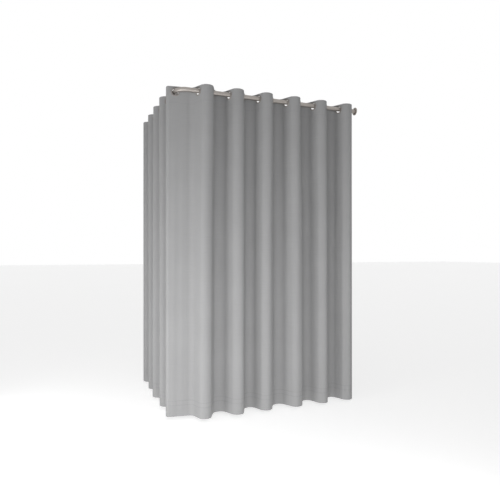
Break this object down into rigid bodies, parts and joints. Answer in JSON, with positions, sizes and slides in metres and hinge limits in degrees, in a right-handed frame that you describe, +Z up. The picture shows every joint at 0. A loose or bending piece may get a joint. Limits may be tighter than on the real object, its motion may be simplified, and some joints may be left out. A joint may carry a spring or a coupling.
{
  "type": "fabric room curtain panel",
  "caption": "Plain woven eyelet curtain panel in even waves on a round corner rail that turns a right angle between two wall flanges.",
  "frame": {"origin": "centre of the front wall flange, on the wall's face", "axes": "+Z up, with the rail's axis at Z = 0; +X along the front arm of the rail into the front wall; the side arm runs along +Y from the corner at X = -1.245"},
  "size_m": [1.2944, 1.0813, 2],
  "materials": {
    "cloth": "plain woven grey cloth, matte",
    "eyelet_metal": "pressed steel, satin warm grey lacquer",
    "rail_metal": "drawn steel tube, satin warm nickel",
    "flange_metal": "satin warm nickel",
    "joiner_plastic": "moulded black nylon",
    "screw_steel": "zinc plated"
  },
  "bodies": {
    "root": {"front_rail_tube": "rail_metal", "side_rail_tube": "rail_metal", "rail_elbow": "rail_metal", "front_joiner": "joiner_plastic", "side_joiner": "joiner_plastic", "grub_screws": "screw_steel", "front_wall_flange": "flange_metal", "side_wall_flange": "flange_metal", "corner_cloth": "cloth", "corner_eyelet": "eyelet_metal"},
    "front_fold_02": {"front_cloth_02": "cloth", "front_eyelet_02": "eyelet_metal"},
    "front_fold_03": {"front_cloth_03": "cloth", "front_eyelet_03": "eyelet_metal"},
    "front_fold_04": {"front_cloth_04": "cloth", "front_eyelet_04": "eyelet_metal"},
    "front_fold_05": {"front_cloth_05": "cloth", "front_eyelet_05": "eyelet_metal"},
    "front_fold_06": {"front_cloth_06": "cloth", "front_eyelet_06": "eyelet_metal"},
    "front_fold_07": {"front_cloth_07": "cloth", "front_eyelet_07": "eyelet_metal"},
    "front_fold_08": {"front_cloth_08": "cloth", "front_eyelet_08": "eyelet_metal"},
    "front_fold_09": {"front_cloth_09": "cloth", "front_eyelet_09": "eyelet_metal"},
    "front_fold_10": {"front_cloth_10": "cloth", "front_eyelet_10": "eyelet_metal"},
    "front_fold_11": {"front_cloth_11": "cloth", "front_eyelet_11": "eyelet_metal"},
    "front_fold_12": {"front_cloth_12": "cloth", "front_eyelet_12": "eyelet_metal"},
    "front_fold_13": {"front_cloth_13": "cloth", "front_eyelet_13": "eyelet_metal"},
    "side_fold_01": {"side_cloth_01": "cloth", "side_eyelet_01": "eyelet_metal"},
    "side_fold_02": {"side_cloth_02": "cloth", "side_eyelet_02": "eyelet_metal"},
    "side_fold_03": {"side_cloth_03": "cloth", "side_eyelet_03": "eyelet_metal"},
    "side_fold_04": {"side_cloth_04": "cloth", "side_eyelet_04": "eyelet_metal"},
    "side_fold_05": {"side_cloth_05": "cloth", "side_eyelet_05": "eyelet_metal"},
    "side_fold_06": {"side_cloth_06": "cloth", "side_eyelet_06": "eyelet_metal"},
    "side_fold_07": {"side_cloth_07": "cloth", "side_eyelet_07": "eyelet_metal"},
    "side_fold_08": {"side_cloth_08": "cloth", "side_eyelet_08": "eyelet_metal"},
    "side_fold_09": {"side_cloth_09": "cloth", "side_eyelet_09": "eyelet_metal"}
  },
  "joints": [
    {"name": "front_draw", "type": "hinge", "parent": "root", "child": "front_fold_02", "pos_m": [-1.118, 0, 0], "axis": [0, 0, -1], "range_deg": [0, 28]},
    {"name": "front_crest_02_03", "type": "hinge", "parent": "front_fold_02", "child": "front_fold_03", "pos_m": [-1.06871, -0.0505, 0], "axis": [0, 0, 1], "range_deg": [0, 56]},
    {"name": "front_crest_03_04", "type": "hinge", "parent": "front_fold_03", "child": "front_fold_04", "pos_m": [-0.97011, 0.0505, 0], "axis": [0, 0, -1], "range_deg": [0, 56]},
    {"name": "front_crest_04_05", "type": "hinge", "parent": "front_fold_04", "child": "front_fold_05", "pos_m": [-0.87152, -0.0505, 0], "axis": [0, 0, 1], "range_deg": [0, 56]},
    {"name": "front_crest_05_06", "type": "hinge", "parent": "front_fold_05", "child": "front_fold_06", "pos_m": [-0.77293, 0.0505, 0], "axis": [0, 0, -1], "range_deg": [0, 56]},
    {"name": "front_crest_06_07", "type": "hinge", "parent": "front_fold_06", "child": "front_fold_07", "pos_m": [-0.67434, -0.0505, 0], "axis": [0, 0, 1], "range_deg": [0, 56]},
    {"name": "front_crest_07_08", "type": "hinge", "parent": "front_fold_07", "child": "front_fold_08", "pos_m": [-0.57575, 0.0505, 0], "axis": [0, 0, -1], "range_deg": [0, 56]},
    {"name": "front_crest_08_09", "type": "hinge", "parent": "front_fold_08", "child": "front_fold_09", "pos_m": [-0.47716, -0.0505, 0], "axis": [0, 0, 1], "range_deg": [0, 56]},
    {"name": "front_crest_09_10", "type": "hinge", "parent": "front_fold_09", "child": "front_fold_10", "pos_m": [-0.37857, 0.0505, 0], "axis": [0, 0, -1], "range_deg": [0, 56]},
    {"name": "front_crest_10_11", "type": "hinge", "parent": "front_fold_10", "child": "front_fold_11", "pos_m": [-0.27998, -0.0505, 0], "axis": [0, 0, 1], "range_deg": [0, 56]},
    {"name": "front_crest_11_12", "type": "hinge", "parent": "front_fold_11", "child": "front_fold_12", "pos_m": [-0.18139, 0.0505, 0], "axis": [0, 0, -1], "range_deg": [0, 56]},
    {"name": "front_crest_12_13", "type": "hinge", "parent": "front_fold_12", "child": "front_fold_13", "pos_m": [-0.08279, -0.0505, 0], "axis": [0, 0, 1], "range_deg": [0, 56]},
    {"name": "side_draw", "type": "hinge", "parent": "root", "child": "side_fold_01", "pos_m": [-1.245, 0.144, 0], "axis": [0, 0, -1], "range_deg": [0, 32]},
    {"name": "side_crest_01_02", "type": "hinge", "parent": "side_fold_01", "child": "side_fold_02", "pos_m": [-1.19639, 0.19697, 0], "axis": [0, 0, 1], "range_deg": [0, 64]},
    {"name": "side_crest_02_03", "type": "hinge", "parent": "side_fold_02", "child": "side_fold_03", "pos_m": [-1.29361, 0.30291, 0], "axis": [0, 0, -1], "range_deg": [0, 64]},
    {"name": "side_crest_03_04", "type": "hinge", "parent": "side_fold_03", "child": "side_fold_04", "pos_m": [-1.19639, 0.40884, 0], "axis": [0, 0, 1], "range_deg": [0, 64]},
    {"name": "side_crest_04_05", "type": "hinge", "parent": "side_fold_04", "child": "side_fold_05", "pos_m": [-1.29361, 0.51478, 0], "axis": [0, 0, -1], "range_deg": [0, 64]},
    {"name": "side_crest_05_06", "type": "hinge", "parent": "side_fold_05", "child": "side_fold_06", "pos_m": [-1.19639, 0.62072, 0], "axis": [0, 0, 1], "range_deg": [0, 64]},
    {"name": "side_crest_06_07", "type": "hinge", "parent": "side_fold_06", "child": "side_fold_07", "pos_m": [-1.29361, 0.72666, 0], "axis": [0, 0, -1], "range_deg": [0, 64]},
    {"name": "side_crest_07_08", "type": "hinge", "parent": "side_fold_07", "child": "side_fold_08", "pos_m": [-1.19639, 0.83259, 0], "axis": [0, 0, 1], "range_deg": [0, 64]},
    {"name": "side_crest_08_09", "type": "hinge", "parent": "side_fold_08", "child": "side_fold_09", "pos_m": [-1.29361, 0.93853, 0], "axis": [0, 0, -1], "range_deg": [0, 64]}
  ],
  "couplings": [
    {"joint": "front_crest_02_03", "follows": "front_draw", "ratio": 2},
    {"joint": "front_crest_03_04", "follows": "front_draw", "ratio": 2},
    {"joint": "front_crest_04_05", "follows": "front_draw", "ratio": 2},
    {"joint": "front_crest_05_06", "follows": "front_draw", "ratio": 2},
    {"joint": "front_crest_06_07", "follows": "front_draw", "ratio": 2},
    {"joint": "front_crest_07_08", "follows": "front_draw", "ratio": 2},
    {"joint": "front_crest_08_09", "follows": "front_draw", "ratio": 2},
    {"joint": "front_crest_09_10", "follows": "front_draw", "ratio": 2},
    {"joint": "front_crest_10_11", "follows": "front_draw", "ratio": 2},
    {"joint": "front_crest_11_12", "follows": "front_draw", "ratio": 2},
    {"joint": "front_crest_12_13", "follows": "front_draw", "ratio": 2},
    {"joint": "side_crest_01_02", "follows": "side_draw", "ratio": 2},
    {"joint": "side_crest_02_03", "follows": "side_draw", "ratio": 2},
    {"joint": "side_crest_03_04", "follows": "side_draw", "ratio": 2},
    {"joint": "side_crest_04_05", "follows": "side_draw", "ratio": 2},
    {"joint": "side_crest_05_06", "follows": "side_draw", "ratio": 2},
    {"joint": "side_crest_06_07", "follows": "side_draw", "ratio": 2},
    {"joint": "side_crest_07_08", "follows": "side_draw", "ratio": 2},
    {"joint": "side_crest_08_09", "follows": "side_draw", "ratio": 2}
  ]
}
